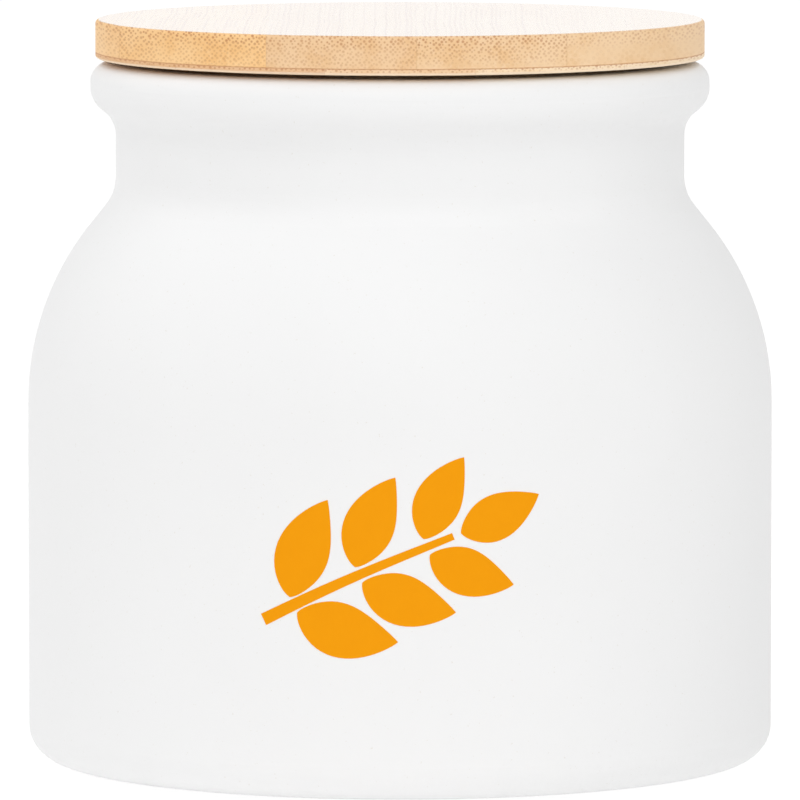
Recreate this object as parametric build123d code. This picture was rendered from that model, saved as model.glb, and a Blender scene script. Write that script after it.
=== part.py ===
"""Food-storage jar of glazed ceramic with a lid of laminated bamboo.

Everything is turned about Z. The jar stands on the plane z = 0, its front
faces -Y, and the lid's bamboo strips run from front to back, along Y.
"""

import os
from math import atan2, ceil, floor, hypot, tan

from build123d import *

# Jar, outside: its whole size, and the corners of its outline from the rim down
BODY_DIAMETER = 120.0
JAR_HEIGHT = 113.3
COLLAR_DEPTH = 6.3
COLLAR_PROUD = 4.05
FLARE_HEIGHT = 2.8
NECK_LENGTH = 11.9
SHOULDER_RISE = 17.7
SHOULDER_INSET = 14.2
HEEL_HEIGHT = 1.3
FOOT_INSET = 14.2

# Jar, roundings of the outline's corners
NECK_ROUND = 7.5
HEEL_ROUND = 5.5
RIM_INNER_ROUND = 2.2

# How much of an edge beside a corner is taken up by that corner's rounding
RIM_OUTER_SHARE = 0.492
COLLAR_SHARE = 0.48
COLLAR_FOOT_SHARE = 0.512
SHOULDER_SHARE = 0.705

# Jar, inside and underside
WALL = 4.5
FLOOR_THICKNESS = 5.4
FLOOR_ROUND = 9.0
FOOT_RING_WIDTH = 3.4
RECESS_DEPTH = 1.3
RECESS_ROUND = 0.8

# Lid, a board of three plies of strips that is turned to a disc with a plug
LID_INSET = 0.85
LID_GAP = 0.75
FLANGE_UNDER_GLUE = 1.0
PLY_THICKNESS = 5.2
LID_TOP_ROUND = 0.7
LID_EDGE_ROUND = 0.5
PLUG_PLAY = 1.8
PLUG_EDGE_ROUND = 0.8
GROOVE_DEPTH = 2.7
GROOVE_LAND = 2.4

# A strip's width in lid diameters, and in strips how far a ply's seams lie off the middle
STRIP_SHARE = 0.2408
TOP_SEAM_SHARE = 0.11
CORE_SEAM_SHARE = 0.5
PLUG_SEAM_SHARE = 0.0

# Seal ring of silicone, in the plug's groove. A fin's measures are shares of the fins' pitch
SEAL_PLAY = 0.25
BAND_SETBACK = 0.45
FIN_COUNT = 3
FIN_ROOT_SHARE = 0.6
FIN_TIP_SHARE = 0.36
FIN_RISE_SHARE = 0.4
FIN_PLAY = 0.3

# How far a cutting block reaches past what it cuts
OVERRUN = 2.0

body_radius = BODY_DIAMETER / 2
neck_radius = body_radius - SHOULDER_INSET
collar_radius = neck_radius + COLLAR_PROUD
foot_radius = body_radius - FOOT_INSET
bore_radius = neck_radius - WALL
recess_radius = foot_radius - FOOT_RING_WIDTH
collar_height = JAR_HEIGHT - COLLAR_DEPTH
collar_foot_height = collar_height - FLARE_HEIGHT
neck_height = collar_foot_height - NECK_LENGTH
shoulder_height = neck_height - SHOULDER_RISE

lid_radius = collar_radius - LID_INSET
lid_underside = JAR_HEIGHT + LID_GAP
upper_glue_height = lid_underside + FLANGE_UNDER_GLUE
lid_top = upper_glue_height + PLY_THICKNESS
lower_glue_height = upper_glue_height - PLY_THICKNESS
plug_bottom = lower_glue_height - PLY_THICKNESS
plug_radius = bore_radius - PLUG_PLAY
groove_radius = plug_radius - GROOVE_DEPTH
groove_top = lid_underside - GROOVE_LAND
groove_bottom = plug_bottom + GROOVE_LAND
strip_width = 2 * lid_radius * STRIP_SHARE


def outline(corners):
    """A face in the XZ plane from (radius, height, rounding) corners."""
    places = [(radius, height) for radius, height, rounding in corners]
    roundings = [rounding for radius, height, rounding in corners]
    edge = FilletPolyline(places, radius=roundings, close=True)
    return Plane.XZ * make_face(edge)


def turned(face):
    """The solid that a face sweeps when it is turned once about Z."""
    return revolve(face, Axis.Z)


def rounding(across, up, share):
    """The radius at a plumb wall's corner that takes a share of the slanting edge beside it."""
    lean = atan2(across, up)
    return hypot(across, up) * share / tan(lean / 2)


def jar():
    """The ceramic jar: foot ring, straight body, round shoulder, neck and rolled collar."""
    shoulder_round = rounding(SHOULDER_INSET, SHOULDER_RISE, SHOULDER_SHARE)
    collar_foot_round = rounding(COLLAR_PROUD, FLARE_HEIGHT, COLLAR_FOOT_SHARE)
    collar_round = rounding(COLLAR_PROUD, FLARE_HEIGHT, COLLAR_SHARE)
    outside = [
        (foot_radius, 0, 0),
        (body_radius, HEEL_HEIGHT, HEEL_ROUND),
        (body_radius, shoulder_height, shoulder_round),
        (neck_radius, neck_height, NECK_ROUND),
        (neck_radius, collar_foot_height, collar_foot_round),
        (collar_radius, collar_height, collar_round),
        (collar_radius, JAR_HEIGHT, COLLAR_DEPTH * RIM_OUTER_SHARE),
    ]
    inner_drop = WALL * tan(atan2(SHOULDER_INSET, SHOULDER_RISE) / 2)
    inner_radius = body_radius - WALL
    floor_height = RECESS_DEPTH + FLOOR_THICKNESS
    inside = [
        (bore_radius, JAR_HEIGHT, RIM_INNER_ROUND),
        (bore_radius, neck_height - inner_drop, NECK_ROUND + WALL),
        (inner_radius, shoulder_height - inner_drop, shoulder_round - WALL),
        (inner_radius, floor_height, FLOOR_ROUND),
        (0, floor_height, 0),
    ]
    underside = [
        (0, RECESS_DEPTH, 0),
        (recess_radius - RECESS_DEPTH, RECESS_DEPTH, RECESS_ROUND),
        (recess_radius, 0, 0),
    ]
    return turned(outline(outside + inside + underside))


def lid():
    """The whole lid as it is turned: a flat disc, and under it a plug with a groove."""
    corners = [
        (0, lid_top, 0),
        (lid_radius, lid_top, LID_TOP_ROUND),
        (lid_radius, lid_underside, LID_EDGE_ROUND),
        (plug_radius, lid_underside, 0),
        (plug_radius, groove_top, 0),
        (groove_radius, groove_top, 0),
        (groove_radius, groove_bottom, 0),
        (plug_radius, groove_bottom, 0),
        (plug_radius, plug_bottom, PLUG_EDGE_ROUND),
        (0, plug_bottom, 0),
    ]
    return turned(outline(corners))


def seam_places(reach, offset_share):
    """Where the glue seams of a ply lie across it, on both sides of its middle."""
    first = ceil(-reach / strip_width - offset_share)
    last = floor(reach / strip_width - offset_share)
    return [strip_width * (step + offset_share) for step in range(first, last + 1)]


def strips(board, bottom, top, reach, offset_share):
    """The strips of one ply, cut from the turned board between its seams."""
    edges = [-reach - OVERRUN, *seam_places(reach, offset_share), reach + OVERRUN]
    pieces = []
    for low, high in zip(edges, edges[1:]):
        block = Box(
            high - low,
            2 * (reach + OVERRUN),
            top - bottom,
            align=(Align.MIN, Align.CENTER, Align.MIN),
        )
        pieces.append(board & Pos(low, 0, bottom) * block)
    return pieces


def lid_strips():
    """Every bamboo strip of the lid, by name, ply by ply from the top down."""
    board = lid()
    plies = {
        "lid_top_strip": (upper_glue_height, lid_top + OVERRUN, lid_radius, TOP_SEAM_SHARE),
        "lid_core_strip": (lower_glue_height, upper_glue_height, lid_radius, CORE_SEAM_SHARE),
        "plug_strip": (plug_bottom - OVERRUN, lower_glue_height, plug_radius, PLUG_SEAM_SHARE),
    }
    named = {}
    for name, (bottom, top, reach, offset_share) in plies.items():
        for number, strip in enumerate(strips(board, bottom, top, reach, offset_share), 1):
            named[f"{name}_{number}"] = strip
    return named


def seal_ring():
    """The seal: a band in the plug's groove with fins that lean up towards the jar's neck."""
    inner = groove_radius + SEAL_PLAY
    outer = plug_radius - BAND_SETBACK
    tip = bore_radius - FIN_PLAY
    bottom = groove_bottom + SEAL_PLAY
    top = groove_top - SEAL_PLAY
    pitch = (top - bottom) / FIN_COUNT
    side = [(outer, top, 0), (inner, top, 0), (inner, bottom, 0)]
    for fin in range(FIN_COUNT):
        under = bottom + pitch * fin
        tip_under = under + pitch * FIN_RISE_SHARE
        side += [
            (outer, under, 0),
            (tip, tip_under, 0),
            (tip, tip_under + pitch * FIN_TIP_SHARE, 0),
            (outer, under + pitch * FIN_ROOT_SHARE, 0),
        ]
    return turned(outline(side))


def main():
    """Write each piece to its own STEP file."""
    os.makedirs("parts", exist_ok=True)
    pieces = {"jar": jar(), "seal_ring": seal_ring(), **lid_strips()}
    for name, piece in pieces.items():
        export_step(piece, f"parts/{name}.step")
        print(name, round(piece.volume), "mm3")


main()
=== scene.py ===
import math
from typing import NamedTuple

import bpy
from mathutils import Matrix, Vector

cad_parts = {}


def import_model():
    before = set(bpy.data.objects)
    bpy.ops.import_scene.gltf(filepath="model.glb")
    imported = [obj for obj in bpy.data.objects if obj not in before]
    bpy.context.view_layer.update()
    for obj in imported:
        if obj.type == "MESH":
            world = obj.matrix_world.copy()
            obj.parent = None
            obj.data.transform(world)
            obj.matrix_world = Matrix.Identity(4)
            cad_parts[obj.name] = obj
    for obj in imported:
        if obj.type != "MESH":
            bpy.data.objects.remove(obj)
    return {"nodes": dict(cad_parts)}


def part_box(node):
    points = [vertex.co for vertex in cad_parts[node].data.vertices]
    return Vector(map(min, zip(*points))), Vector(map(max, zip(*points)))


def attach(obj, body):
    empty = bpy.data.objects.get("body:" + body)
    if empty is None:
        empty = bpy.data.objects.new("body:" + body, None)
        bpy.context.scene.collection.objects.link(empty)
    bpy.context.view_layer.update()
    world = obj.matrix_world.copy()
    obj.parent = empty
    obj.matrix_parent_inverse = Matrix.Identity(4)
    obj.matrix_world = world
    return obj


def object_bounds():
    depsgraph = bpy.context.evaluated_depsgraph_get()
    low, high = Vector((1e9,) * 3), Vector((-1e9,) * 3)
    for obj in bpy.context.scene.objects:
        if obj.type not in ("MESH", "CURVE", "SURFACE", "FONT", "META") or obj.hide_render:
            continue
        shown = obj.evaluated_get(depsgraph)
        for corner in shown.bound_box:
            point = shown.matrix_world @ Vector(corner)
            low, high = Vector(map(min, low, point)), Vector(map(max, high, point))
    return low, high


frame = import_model()
cad_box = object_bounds()

MM = 0.001
PER_MM = 1000.0


def linear(red, green, blue):
    """A linear colour from the 0 to 255 values that it is seen by."""
    shares = [value / 255 for value in (red, green, blue)]
    return (*[s / 12.92 if s <= 0.04045 else ((s + 0.055) / 1.055) ** 2.4 for s in shares], 1.0)


WHITE = linear(255, 255, 255)


class Shading:
    """A node tree, with short calls for the nodes that the finishes use."""

    def __init__(self, tree):
        self.tree = tree
        self.tree.nodes.clear()

    def feed(self, socket, value):
        """Link a socket to another, or set it to a plain value."""
        if isinstance(value, bpy.types.NodeSocket):
            self.tree.links.new(value, socket)
        else:
            socket.default_value = value

    def node(self, kind, inputs=None, **settings):
        """Add a node, with its settings and with its inputs by name or number."""
        made = self.tree.nodes.new(kind)
        for key, value in settings.items():
            setattr(made, key, value)
        for key, value in (inputs or {}).items():
            self.feed(made.inputs[key], value)
        return made

    def math(self, operation, *values):
        """Work out a number from others."""
        return self.node("ShaderNodeMath", dict(enumerate(values)), operation=operation).outputs[0]

    def vector(self, operation, *values):
        """Work out a vector from others."""
        return self.node("ShaderNodeVectorMath", dict(enumerate(values)), operation=operation).outputs[0]

    def product(self, first, *others):
        """All the values multiplied."""
        for other in others:
            first = self.math("MULTIPLY", first, other)
        return first

    def invert(self, value):
        """One less the value."""
        return self.math("SUBTRACT", 1.0, value)

    def apart(self, first, second):
        """How far two values lie apart."""
        return self.math("ABSOLUTE", self.math("SUBTRACT", first, second))

    def step(self, value, low, high):
        """0 below low and 1 above high, smooth between them."""
        inputs = {"Value": value, "From Min": low, "From Max": high}
        return self.node("ShaderNodeMapRange", inputs, interpolation_type="SMOOTHSTEP").outputs["Result"]

    def between(self, value, low, high):
        """A plain number from 0 to 1 spread over low to high."""
        inputs = {"Value": value, "To Min": low, "To Max": high}
        return self.node("ShaderNodeMapRange", inputs).outputs["Result"]

    def mix(self, share, first, second):
        """A colour that a share moves from the first to the second."""
        inputs = {0: share, 6: first, 7: second}
        return self.node("ShaderNodeMix", inputs, data_type="RGBA").outputs[2]

    def join(self, x, y, z):
        """A vector from its three parts."""
        return self.node("ShaderNodeCombineXYZ", {"X": x, "Y": y, "Z": z}).outputs["Vector"]

    def noise(self, place, size, detail=2.0, roughness=0.5):
        """Noise whose lumps are about the given size."""
        inputs = {"Vector": place, "Scale": 1 / size, "Detail": detail, "Roughness": roughness}
        return self.node("ShaderNodeTexNoise", inputs).outputs["Fac"]

    def place_mm(self):
        """The place on the piece, in millimetres of the shared frame, and its three parts."""
        raw = self.node("ShaderNodeTexCoord").outputs["Object"]
        place = self.vector("MULTIPLY", raw, (PER_MM, PER_MM, PER_MM))
        parts = self.node("ShaderNodeSeparateXYZ", {"Vector": place}).outputs
        return place, parts["X"], parts["Y"], parts["Z"]

    def bump(self, height, depth_mm, normal=None):
        """The surface's normal with a relief on it, on top of another relief if one is given."""
        inputs = {"Height": height, "Distance": depth_mm * MM, "Strength": 1.0}
        if normal is not None:
            inputs["Normal"] = normal
        return self.node("ShaderNodeBump", inputs).outputs["Normal"]

    def seen(self):
        """1 for what the camera sees, straight on, mirrored or through glass, and 0 for other light."""
        path = self.node("ShaderNodeLightPath").outputs
        seen = self.math("MAXIMUM", path["Is Camera Ray"], path["Is Glossy Ray"])
        return self.math("MAXIMUM", seen, path["Is Transmission Ray"])

    def finish(self, **sockets):
        """The Principled shader, with its sockets named by words joined with underscores."""
        inputs = {key.replace("_", " "): value for key, value in sockets.items()}
        shader = self.node("ShaderNodeBsdfPrincipled", inputs)
        self.node("ShaderNodeOutputMaterial", {"Surface": shader.outputs["BSDF"]})


def new_material(name):
    """A material with an empty node tree, and the tree's short calls."""
    made = bpy.data.materials.new(name)
    made.use_nodes = True
    return made, Shading(made.node_tree)


# Matt glaze: whites, gloss, and the sizes of its clouds, specks and orange-peel skin in millimetres
GLAZE_WHITES = (linear(243, 243, 243), linear(246, 246, 246))
GLAZE_SPECK = linear(235, 233, 229)
GLAZE_ROUGHNESS = (0.40, 0.50)
GLAZE_SPECULAR = 0.32
GLAZE_CLOUD = 28.0
GLAZE_SPECK_SIZE = 0.42
GLAZE_SPECK_LEVELS = (0.72, 0.80)
GLAZE_SWAY = 17.0
GLAZE_SWAY_DEPTH = 0.10
GLAZE_SKIN = 1.8
GLAZE_SKIN_DEPTH = 0.035

# Bare biscuit on the foot ring: colours, grain, how high it goes and where the recess starts
BISCUITS = (linear(216, 208, 196), linear(232, 226, 216))
BISCUIT_ROUGHNESS = 0.9
BISCUIT_GRAIN = 0.2
BISCUIT_DEPTH = 0.06
BISCUIT_TOP = 0.45
BISCUIT_RAGGED = 0.3
RECESS_RADIUS = 41.1


def glaze_skin(shade, place):
    """The glaze's fine orange-peel relief, which the ink on it takes on."""
    return shade.noise(place, GLAZE_SKIN, detail=3.0, roughness=0.45)


def glaze():
    """Matt white glaze with a faint orange-peel skin, and bare biscuit on the foot ring."""
    made, shade = new_material("matt_glaze")
    place, x, y, z = shade.place_mm()
    clouds = shade.noise(place, GLAZE_CLOUD, detail=3.0)
    specks = shade.step(shade.noise(place, GLAZE_SPECK_SIZE, detail=1.0), *GLAZE_SPECK_LEVELS)
    white = shade.mix(specks, shade.mix(clouds, *GLAZE_WHITES), GLAZE_SPECK)
    grain = shade.noise(place, BISCUIT_GRAIN, detail=4.0)
    radius = shade.math("SQRT", shade.math("ADD", shade.product(x, x), shade.product(y, y)))
    ragged = shade.math("ADD", z, shade.product(grain, BISCUIT_RAGGED))
    on_ring = shade.invert(shade.step(ragged, BISCUIT_TOP - BISCUIT_RAGGED / 2, BISCUIT_TOP))
    past_recess = shade.step(radius, RECESS_RADIUS - BISCUIT_GRAIN, RECESS_RADIUS + BISCUIT_GRAIN)
    bare = shade.product(on_ring, past_recess)
    normal = shade.bump(shade.noise(place, GLAZE_SWAY, detail=1.0), GLAZE_SWAY_DEPTH)
    normal = shade.bump(glaze_skin(shade, place), GLAZE_SKIN_DEPTH, normal)
    normal = shade.bump(shade.product(grain, bare), BISCUIT_DEPTH, normal)
    matt = shade.between(clouds, *GLAZE_ROUGHNESS)
    shade.finish(
        Base_Color=shade.mix(bare, white, shade.mix(grain, *BISCUITS)),
        Roughness=shade.math("MAXIMUM", matt, shade.product(bare, BISCUIT_ROUGHNESS)),
        Normal=normal,
        Specular_IOR_Level=GLAZE_SPECULAR,
    )
    return made


# Bamboo: a ply's thickness, and the heights of the plies' feet, the glue lines and the flange's foot
top_low, top_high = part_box("lid_top_strip_3")
PLY = (top_high.z - top_low.z) * PER_MM
UPPER_GLUE = top_low.z * PER_MM
LOWER_GLUE = UPPER_GLUE - PLY
PLY_FEET = {
    "lid_top_strip": UPPER_GLUE,
    "lid_core_strip": LOWER_GLUE,
    "plug_strip": LOWER_GLUE - PLY,
}
FLANGE_UNDER_GLUE = 1.0
FLANGE_FOOT = UPPER_GLUE - FLANGE_UNDER_GLUE

# Bamboo: the colours of what lies on a strip's ground tone
FIBRE = linear(182, 112, 62)
PALE_FIBRE = linear(206, 158, 100)
GLUE = linear(196, 134, 84)
SEAM = linear(190, 138, 92)
# The pale colour on the flange's lower arris: partly worn, frayed fibres and partly a painted highlight
WORN_EDGE_AND_HIGHLIGHT = linear(255, 236, 210)

# Bamboo: where a line, or the pale lower edge of worn fibres and painted highlight, starts to fade and
# where it ends, in mm from its middle
GLUE_LINE = (0.03, 0.15)
SEAM_LINE = (0.02, 0.13)
WEAR_AND_HIGHLIGHT_REACH = (0.25, 0.50)

# Bamboo: the heights in a ply between which the bundles grow dense
DENSE = (2.0, 4.8)

# Bamboo: widths across the grain and lengths along it, in millimetres
STREAK = (0.6, 33.0)
CLOUD = (6.2, 52.0)
PATCH = (4.5, 90.0)
BEND_LENGTH = 50.0
BEND_REACH = 1.6
LIFT_LENGTH = 28.0
LIFT_REACH = 0.8
RELIEF_DEPTH = 0.02

# Bamboo: between which levels of their noises the clouds, the streaks and the glue come in
CLOUD_LEVELS = (0.35, 0.75)
STREAK_LEVELS = (0.45, 0.75)
GLUE_LEVELS = (0.35, 0.60)

# Bamboo: the ground tone's red, green and blue in its deep clouds and its pale streaks
DEEP_SHARES = (0.93, 0.84, 0.70)
PALE_SHARES = (1.03, 1.07, 1.16)

# Bamboo: how much each thing shows, from where it is weakest to where it is strongest
STREAK_SHARE = 0.5
PATCH_SHARES = (0.6, 1.3)
DOT_SHARE = 0.95
RING_SHARE = 0.20
RING_MIDDLE_SHARE = 0.4
GLUE_SHARES = (0.40, 0.85)
# How strongly the flange's lower arris shows its pale edge of worn fibres and painted highlight
WEAR_AND_HIGHLIGHT_SHARES = (0.3, 1.0)
SEAM_SHARE = 0.18

# Bamboo: how plumb a face's normal is where it turns smooth, and what it keeps of the relief there
FLAT_LEVELS = (0.90, 0.98)
FLAT_RELIEF_SHARE = 0.05
FLAT_ROUGHNESS = (0.22, 0.32)
SAWN_ROUGHNESS = 0.32
OIL_ROUGHNESS = 0.08

# Cut bundles: how loose their lattice is, their sizes and strengths, and where a ring's middle ends
LATTICE_LOOSE_SHARE = 0.55
BUNDLE_SIZE_SHARES = (0.8, 1.2)
BUNDLE_SHARES = (0.65, 1.0)
RING_INNER_SHARES = (0.2, 0.6)

# How far apart the strips' noises are taken, in lumps, and their lattices, in cells
NOISE_STRIDE = 11.0
LATTICE_STRIDE = (7.31, 3.17, 0.0)
RING_LATTICE = 5


class Bundles(NamedTuple):
    """Fibre bundles cut across: their lattice's cell, and an end's radius and soft edge, in mm."""

    cell: float
    radius: float
    blur: float


FINE = Bundles(cell=0.58, radius=0.24, blur=0.14)
WIDE = Bundles(cell=0.85, radius=0.32, blur=0.20)


class Look(NamedTuple):
    """How a strip looks: its ground tone, and how far down its dots reach, their fade and darkness."""

    tone: tuple
    dots_down: float
    fade: float
    darkness: float


LOOKS = {
    "lid_top_strip": [
        Look(linear(251, 208, 152), 0.0, 0.8, 0.60),
        Look(linear(253, 209, 150), 0.0, 0.8, 0.78),
        Look(linear(243, 205, 160), 0.2, 0.8, 0.70),
        Look(linear(246, 211, 168), 0.9, 0.9, 0.78),
        Look(linear(246, 211, 168), 2.8, 0.8, 0.40),
    ],
    "lid_core_strip": [
        Look(linear(235, 191, 144), 4.75, 0.3, 0.75),
        Look(linear(237, 195, 152), 4.75, 0.3, 0.75),
        Look(linear(247, 213, 174), 4.80, 0.3, 0.70),
        Look(linear(252, 226, 190), 4.85, 0.3, 0.60),
        Look(linear(252, 227, 193), 4.85, 0.3, 0.60),
    ],
    "plug_strip": [
        Look(linear(246, 206, 154), 1.0, 0.8, 0.60),
        Look(linear(237, 193, 138), 1.4, 0.8, 0.60),
        Look(linear(251, 214, 166), 2.2, 0.8, 0.60),
        Look(linear(241, 198, 146), 1.0, 0.8, 0.60),
    ],
}


class Grain:
    """Places on a strip as its fibres run: along Y, wandering a little across and up."""

    def __init__(self, shade, seed, foot):
        self.shade = shade
        self.seed = seed
        self.x, self.y, self.z = shade.place_mm()[1:]
        self.across = shade.math("ADD", self.x, self.wander(BEND_LENGTH, BEND_REACH))
        height = shade.math("SUBTRACT", self.z, foot)
        self.level = shade.math("ADD", height, self.wander(LIFT_LENGTH, LIFT_REACH))

    def wander(self, length, reach):
        """A slow shift along the strip, by up to half its reach either way."""
        place = self.shade.join(self.seed * NOISE_STRIDE * length, self.y, 0.0)
        slow = self.shade.noise(place, length, detail=1.0)
        return self.shade.product(self.shade.math("SUBTRACT", slow, 0.5), reach)

    def noise(self, size, detail, roughness=0.5):
        """Noise that is drawn out along the fibres."""
        width, length = size
        place = self.shade.join(self.across, self.shade.product(self.y, width / length), self.level)
        return self.shade.noise(place, width, detail, roughness)

    def bundles(self, kind, shift):
        """Cut ends of fibre bundles on a loose, slanting lattice, and how far off the nearest one is."""
        shade = self.shade
        diagonals = [shade.math(way, self.across, self.level) for way in ("ADD", "SUBTRACT")]
        slanting = [shade.product(diagonal, math.sqrt(0.5) / kind.cell) for diagonal in diagonals]
        offset = [(self.seed + shift) * stride for stride in LATTICE_STRIDE]
        place = shade.vector("ADD", shade.join(*slanting, 0.0), offset)
        inputs = {"Vector": place, "Scale": 1.0, "Randomness": LATTICE_LOOSE_SHARE}
        lattice = shade.node("ShaderNodeTexVoronoi", inputs, voronoi_dimensions="2D").outputs
        distance = shade.product(lattice["Distance"], kind.cell)
        pick = shade.node("ShaderNodeSeparateColor", {"Color": lattice["Color"]}).outputs
        radius = shade.between(pick["Red"], *[kind.radius * share for share in BUNDLE_SIZE_SHARES])
        end = shade.invert(shade.step(distance, shade.math("SUBTRACT", radius, kind.blur), radius))
        return shade.product(end, shade.between(pick["Green"], *BUNDLE_SHARES)), distance


def fibre_ends(shade, grain, look):
    """Dark dots high in the ply, where the bundles are dense, and faint rings under them."""
    dots, _ = grain.bundles(FINE, 0)
    rings, distance = grain.bundles(WIDE, RING_LATTICE)
    outer = shade.step(grain.level, look.dots_down - look.fade, look.dots_down + look.fade)
    dense = shade.between(shade.step(grain.level, *DENSE), look.darkness / 2, look.darkness)
    patchy = shade.between(grain.noise(PATCH, detail=1.0), *PATCH_SHARES)
    dots = shade.product(dots, shade.math("MINIMUM", shade.product(outer, dense, patchy), DOT_SHARE))
    middle = shade.step(distance, *[WIDE.radius * share for share in RING_INNER_SHARES])
    rings = shade.product(rings, shade.between(middle, RING_MIDDLE_SHARE, 1.0), shade.invert(outer))
    return dots, rings


def tinted(tone, shares):
    """A tone whose red, green and blue are each multiplied, up to full."""
    return (*[min(1.0, part * share) for part, share in zip(tone, shares)], 1.0)


def ground(shade, tone, streaks, clouds):
    """The colour between the bundles, with deeper clouds and paler streaks."""
    deep = tinted(tone, DEEP_SHARES)
    pale = tinted(tone, PALE_SHARES)
    colour = shade.mix(shade.step(clouds, *CLOUD_LEVELS), tone, deep)
    return shade.mix(shade.product(shade.step(streaks, *STREAK_LEVELS), STREAK_SHARE), colour, pale)


def joints_wear_and_highlight(shade, grain, colour, edges, flat, streaks, clouds):
    """The glue lines between the plies, the flange's pale lower edge (partly worn fibres, partly a
    painted highlight) and the seams at the strip's sides.
    """
    uneven = shade.between(shade.step(streaks, *GLUE_LEVELS), *GLUE_SHARES)
    for height in (UPPER_GLUE, LOWER_GLUE):
        line = shade.invert(shade.step(shade.apart(grain.z, height), *GLUE_LINE))
        colour = shade.mix(shade.product(line, uneven), colour, GLUE)
    # The flange's lower arris is painted paler, partly for worn, frayed fibres and partly as a painted
    # highlight
    wear_and_highlight = shade.invert(shade.step(shade.apart(grain.z, FLANGE_FOOT), *WEAR_AND_HIGHLIGHT_REACH))
    wear_and_highlight = shade.product(wear_and_highlight, shade.invert(flat), shade.between(clouds, *WEAR_AND_HIGHLIGHT_SHARES))
    colour = shade.mix(wear_and_highlight, colour, WORN_EDGE_AND_HIGHLIGHT)
    for edge in edges:
        seam = shade.invert(shade.step(shade.apart(grain.x, edge), *SEAM_LINE))
        colour = shade.mix(shade.product(seam, SEAM_SHARE), colour, SEAM)
    return colour


def bamboo(name, foot, look, seed, edges):
    """Bamboo of a ply that starts at a foot height: oiled on its faces, sawn and matt at its ends."""
    made, shade = new_material(name)
    grain = Grain(shade, seed, foot)
    streaks = grain.noise(STREAK, detail=4.0, roughness=0.6)
    clouds = grain.noise(CLOUD, detail=2.0)
    normal = shade.node("ShaderNodeNewGeometry").outputs["Normal"]
    upward = shade.node("ShaderNodeSeparateXYZ", {"Vector": normal}).outputs["Z"]
    flat = shade.step(shade.math("ABSOLUTE", upward), *FLAT_LEVELS)
    dots, rings = fibre_ends(shade, grain, look)
    colour = ground(shade, look.tone, streaks, clouds)
    colour = shade.mix(shade.product(rings, RING_SHARE), colour, PALE_FIBRE)
    colour = shade.mix(dots, colour, FIBRE)
    colour = joints_wear_and_highlight(shade, grain, colour, edges, flat, streaks, clouds)
    relief = shade.math("SUBTRACT", streaks, dots)
    relief = shade.product(relief, shade.between(flat, 1.0, FLAT_RELIEF_SHARE))
    sawn = shade.between(flat, SAWN_ROUGHNESS, 0.0)
    shade.finish(
        Base_Color=colour,
        Roughness=shade.math("ADD", shade.between(streaks, *FLAT_ROUGHNESS), sawn),
        Normal=shade.bump(relief, RELIEF_DEPTH),
        Coat_Weight=flat,
        Coat_Roughness=OIL_ROUGHNESS,
    )
    return made


def dress(node, material):
    """Give a CAD node its finish."""
    piece = frame["nodes"][node]
    piece.data.materials.clear()
    piece.data.materials.append(material)


def dress_strips():
    """Give every bamboo strip a finish of its own."""
    names = [(ply, number) for ply, looks in LOOKS.items() for number in range(1, len(looks) + 1)]
    for seed, (ply, number) in enumerate(names, 1):
        node = f"{ply}_{number}"
        edges = [corner.x * PER_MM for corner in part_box(node)]
        dress(node, bamboo(f"bamboo_{node}", PLY_FEET[ply], LOOKS[ply][number - 1], seed, edges))


# Milky silicone: its shades and gloss, and its clouds, grain and soft depth in millimetres
SILICONES = (linear(226, 226, 222), linear(236, 236, 233))
SILICONE_ROUGHNESS = (0.34, 0.44)
SILICONE_SOFT_SHARE = 0.25
SILICONE_CLOUD = 5.0
SILICONE_GRAIN = 0.33
SILICONE_GRAIN_DEPTH = 0.01
SILICONE_SOFT_DEPTH = (0.6, 0.6, 0.5)


def silicone():
    """Milky silicone, soft to the light, with a faint moulded grain."""
    made, shade = new_material("milky_silicone")
    place = shade.place_mm()[0]
    cloud = shade.noise(place, SILICONE_CLOUD)
    shade.finish(
        Base_Color=shade.mix(cloud, *SILICONES),
        Roughness=shade.between(cloud, *SILICONE_ROUGHNESS),
        Normal=shade.bump(shade.noise(place, SILICONE_GRAIN), SILICONE_GRAIN_DEPTH),
        Subsurface_Weight=SILICONE_SOFT_SHARE,
        Subsurface_Radius=[depth * MM for depth in SILICONE_SOFT_DEPTH],
        Subsurface_Scale=1.0,
    )
    return made


# Orange ink: its shades, gloss and the size of its clouds
INKS = (linear(245, 156, 1), linear(248, 161, 3))
INK_ROUGHNESS = (0.42, 0.52)
INK_SPECULAR = 0.08
INK_CLOUD = 4.0


def ink():
    """Matt orange ink, printed and fired on the glaze."""
    made, shade = new_material("orange_ink")
    place = shade.place_mm()[0]
    cloud = shade.noise(place, INK_CLOUD, detail=3.0)
    shade.finish(
        Base_Color=shade.mix(cloud, *INKS),
        Roughness=shade.between(cloud, *INK_ROUGHNESS),
        Normal=shade.bump(glaze_skin(shade, place), GLAZE_SKIN_DEPTH),
        Specular_IOR_Level=INK_SPECULAR,
    )
    return made


# The print: a sprig of leaves, in millimetres round the wall and up it
WALL_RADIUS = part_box("jar")[1].x * PER_MM
PRINT_HEIGHT = 39.0
PRINT_PROUD = 0.04
PRINT_ROOT = 0.10
SPRIG_LENGTH = 33.0
SPRIG_LEAN = math.radians(24)
SPRIG_START = (-21.8, -9.6)
SPRIG_ARCH = 0.5
STEM_WIDTH = 1.7
STEM_ROOT_SHARE = 1.15
STEM_TIP_SHARE = 0.65
LEAF_PLACES = (4.5, 16.0, 27.5)
LEAF_LENGTH = 16.5
LEAF_WIDTH = 8.6
LEAF_SHRINK_SHARE = 0.07
LEAF_ANGLE = math.radians(52)
LEAF_CURL = 0.35
LEAF_GAP = 1.7
LAST_LEAF_SHARE = 0.84
LAST_LEAF_GAP = 1.3
LAST_LEAF_CURL = 0.12

# A leaf's outline: less of the first fills it towards its foot, less of the second all over
LEAF_BELLY = 0.82
LEAF_FULLNESS = 0.85
TIP_SHARE = 0.02

# The print's mesh: rows along a shape and columns across it
GRID_ROWS = 28
GRID_COLUMNS = 6


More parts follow.
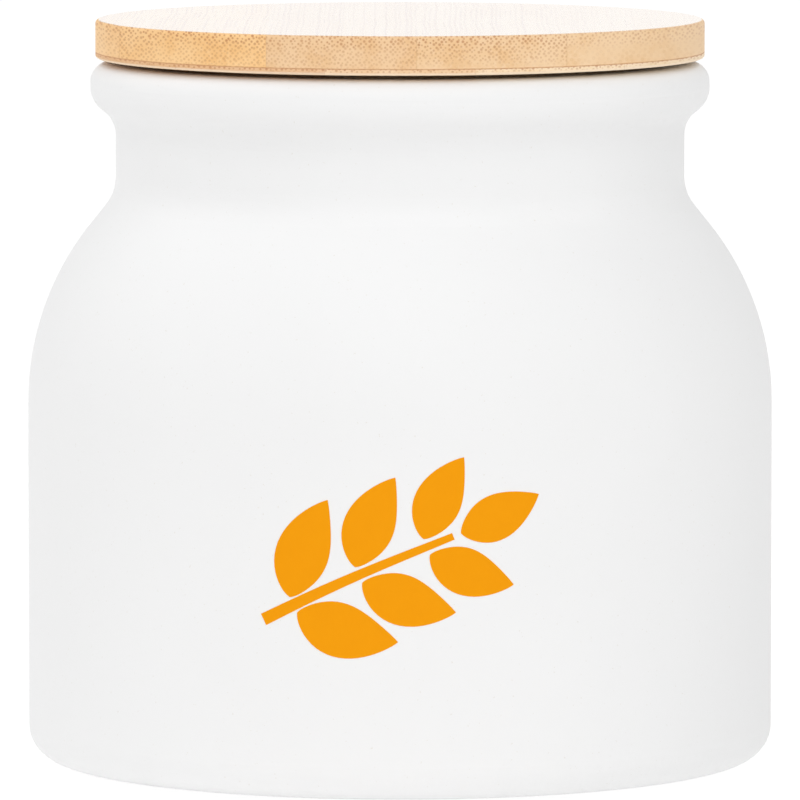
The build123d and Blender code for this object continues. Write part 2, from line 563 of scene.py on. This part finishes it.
def stem_place(along):
    """A place on the sprig's gently arching stem, and the way that it points."""
    turn = math.pi * along / SPRIG_LENGTH
    rise = SPRIG_ARCH * math.sin(turn)
    slope = SPRIG_ARCH * math.pi / SPRIG_LENGTH * math.cos(turn)
    right = SPRIG_START[0] + along * math.cos(SPRIG_LEAN) - rise * math.sin(SPRIG_LEAN)
    up = SPRIG_START[1] + along * math.sin(SPRIG_LEAN) + rise * math.cos(SPRIG_LEAN)
    return (right, up), SPRIG_LEAN + math.atan(slope)


def onward(place, heading, distance):
    """The place a distance away from another along a heading."""
    return place[0] + distance * math.cos(heading), place[1] + distance * math.sin(heading)


def crossed(middle, heading, half):
    """A row of places across a shape, square to its heading."""
    offsets = [half * (2 * column / GRID_COLUMNS - 1) for column in range(GRID_COLUMNS + 1)]
    return [onward(middle, heading + math.pi / 2, offset) for offset in offsets]


def grid_shares():
    """Shares of a shape's length for its rows, closer together at both ends."""
    return [(1 - math.cos(math.pi * row / GRID_ROWS)) / 2 for row in range(GRID_ROWS + 1)]


def leaf(start, heading, length, width, curl):
    """A pointed leaf that is fullest near its foot and curls as it goes."""
    rows = []
    for share in grid_shares():
        middle = onward(start, heading + curl * share / 2, length * share)
        fullness = math.sin(math.pi * share**LEAF_BELLY) ** LEAF_FULLNESS
        rows.append(crossed(middle, heading + curl * share, width / 2 * max(TIP_SHARE, fullness)))
    return rows


def stem():
    """The sprig's stem, which thins towards its tip."""
    rows = []
    for share in grid_shares():
        middle, heading = stem_place(SPRIG_LENGTH * share)
        thinning = STEM_ROOT_SHARE + (STEM_TIP_SHARE - STEM_ROOT_SHARE) * share
        rows.append(crossed(middle, heading, STEM_WIDTH / 2 * thinning))
    return rows


def sprig():
    """Every shape of the sprig: its stem, pairs of leaves and a last leaf at the tip."""
    shapes = [stem()]
    for order, along in enumerate(LEAF_PLACES):
        place, heading = stem_place(along)
        scale = 1 - LEAF_SHRINK_SHARE * order
        length, width = LEAF_LENGTH * scale, LEAF_WIDTH * scale
        for side in (1, -1):
            turn = heading + side * LEAF_ANGLE
            start = onward(place, turn, LEAF_GAP)
            shapes.append(leaf(start, turn, length, width, -side * LEAF_CURL))
    tip, heading = stem_place(SPRIG_LENGTH)
    start = onward(tip, heading, LAST_LEAF_GAP)
    length, width = LEAF_LENGTH * LAST_LEAF_SHARE, LEAF_WIDTH * LAST_LEAF_SHARE
    shapes.append(leaf(start, heading, length, width, LAST_LEAF_CURL))
    return shapes


def wrapped(place, depth):
    """A place on the print, laid on the jar's round wall or, by a depth below zero, in it."""
    turn = place[0] / WALL_RADIUS
    radius = (WALL_RADIUS + depth) * MM
    return (radius * math.sin(turn), -radius * math.cos(turn), (PRINT_HEIGHT + place[1]) * MM)


def grid_rim(high, wide):
    """The numbers of the places round a grid's edge, in order."""
    rim = list(range(wide))
    rim += [row * wide + wide - 1 for row in range(1, high)]
    rim += [(high - 1) * wide + column for column in range(wide - 2, -1, -1)]
    return rim + [row * wide for row in range(high - 2, 0, -1)]


def slab(rows):
    """A shape's grid of places as a closed thin skin: its corners and its faces."""
    high, wide = len(rows), len(rows[0])
    flat = [place for row in rows for place in row]
    corners = [wrapped(place, depth) for depth in (PRINT_PROUD, -PRINT_ROOT) for place in flat]
    under = high * wide
    faces = []
    for row in range(high - 1):
        for column in range(wide - 1):
            first = row * wide + column
            ring = (first, first + wide, first + wide + 1, first + 1)
            faces.append(ring[::-1])
            faces.append([corner + under for corner in ring])
    rim = grid_rim(high, wide)
    for here, there in zip(rim, rim[1:] + rim[:1]):
        faces.append((here, here + under, there + under, there))
    return corners, faces


def new_piece(name, corners, faces, material):
    """An object in the scene from a mesh's corners and faces."""
    mesh = bpy.data.meshes.new(name)
    mesh.from_pydata(corners, [], faces)
    mesh.validate()
    mesh.update()
    mesh.materials.append(material)
    piece = bpy.data.objects.new(name, mesh)
    bpy.context.scene.collection.objects.link(piece)
    return piece


def front_print():
    """The sprig as a thin skin of ink that follows the wall."""
    corners, faces = [], []
    for rows in sprig():
        base = len(corners)
        more_corners, more_faces = slab(rows)
        corners += more_corners
        faces += [[base + corner for corner in face] for face in more_faces]
    piece = new_piece("front_print", corners, faces, ink())
    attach(piece, "jar")


# Floor: how white it shows, how much of that is shadow, and how it lights the object
FLOOR_SIZE = 12.0
FLOOR_ALBEDO = 0.85
FLOOR_GLOW = 0.90
FLOOR_SHADE_SHARE = 0.26
FLOOR_LIGHT = 0.248


def glowing(shade, albedo, strength):
    """A matt grey that also gives off some white light."""
    grey = (albedo, albedo, albedo, 1.0)
    matt = shade.node("ShaderNodeBsdfDiffuse", {"Color": grey})
    glow = shade.node("ShaderNodeEmission", {"Color": WHITE, "Strength": strength})
    both = {0: matt.outputs["BSDF"], 1: glow.outputs["Emission"]}
    return shade.node("ShaderNodeAddShader", both).outputs["Shader"]


def floor():
    """A pale floor that shows white to the camera and in reflections, and keeps the shadow."""
    made, shade = new_material("floor")
    lighting = glowing(shade, FLOOR_ALBEDO, FLOOR_LIGHT)
    showing = glowing(shade, FLOOR_ALBEDO * FLOOR_SHADE_SHARE, FLOOR_GLOW)
    both = shade.node("ShaderNodeMixShader", {0: shade.seen(), 1: lighting, 2: showing})
    shade.node("ShaderNodeOutputMaterial", {"Surface": both.outputs["Shader"]})
    half = FLOOR_SIZE / 2
    corners = [(-half, -half, 0), (half, -half, 0), (half, half, 0), (-half, half, 0)]
    new_piece("floor", corners, [(0, 1, 2, 3)], made)


# The room: it shows white, and lights the object with this strength
WORLD_LIGHT = 0.457


def world():
    """An even white room round the object."""
    made = bpy.data.worlds.new("room")
    made.use_nodes = True
    shade = Shading(made.node_tree)
    strength = shade.between(shade.seen(), WORLD_LIGHT, 1.0)
    light = shade.node("ShaderNodeBackground", {"Color": WHITE, "Strength": strength})
    shade.node("ShaderNodeOutputWorld", {"Surface": light.outputs["Background"]})
    bpy.context.scene.world = made


# Large soft lamps: their size, distance and rise, and each one's turn from the front and its watts
LAMP_SIZE = 2.4
LAMP_DISTANCE = 2.4
LAMP_RISE = math.radians(45)
LAMPS = {
    "left_rear": (math.radians(-100), 15.1),
    "front": (math.radians(0), 20.9),
    "right": (math.radians(60), 9.3),
}


def lamp(name, turn, power):
    """A square soft lamp that faces the object."""
    data = bpy.data.lights.new(name, "AREA")
    data.size = LAMP_SIZE
    data.energy = power
    piece = bpy.data.objects.new(name, data)
    bpy.context.scene.collection.objects.link(piece)
    flat = math.cos(LAMP_RISE)
    away = Vector((math.sin(turn) * flat, -math.cos(turn) * flat, math.sin(LAMP_RISE)))
    middle = (cad_box[0] + cad_box[1]) / 2
    piece.location = middle + away * LAMP_DISTANCE
    piece.rotation_euler = away.to_track_quat("Z", "Y").to_euler()


# Camera: how far in front it stands and how high, in metres, and how far it looks down
CAMERA_DISTANCE = 1.688
CAMERA_HEIGHT = 0.2164
CAMERA_PITCH = math.radians(5.34)
CAMERA_LENS = 472.6
CAMERA_REACH = 100.0


def camera():
    """The camera at the photograph's place."""
    data = bpy.data.cameras.new("camera")
    data.lens = CAMERA_LENS
    data.clip_end = CAMERA_REACH
    piece = bpy.data.objects.new("camera", data)
    bpy.context.scene.collection.objects.link(piece)
    piece.location = (0, -CAMERA_DISTANCE, CAMERA_HEIGHT)
    piece.rotation_euler = (math.pi / 2 - CAMERA_PITCH, 0, 0)
    bpy.context.scene.camera = piece


camera()
world()
floor()
for lamp_name, settings in LAMPS.items():
    lamp(lamp_name, *settings)
dress("jar", glaze())
dress("seal_ring", silicone())
dress_strips()
front_print()
bpy.context.scene.view_settings.view_transform = "Standard"
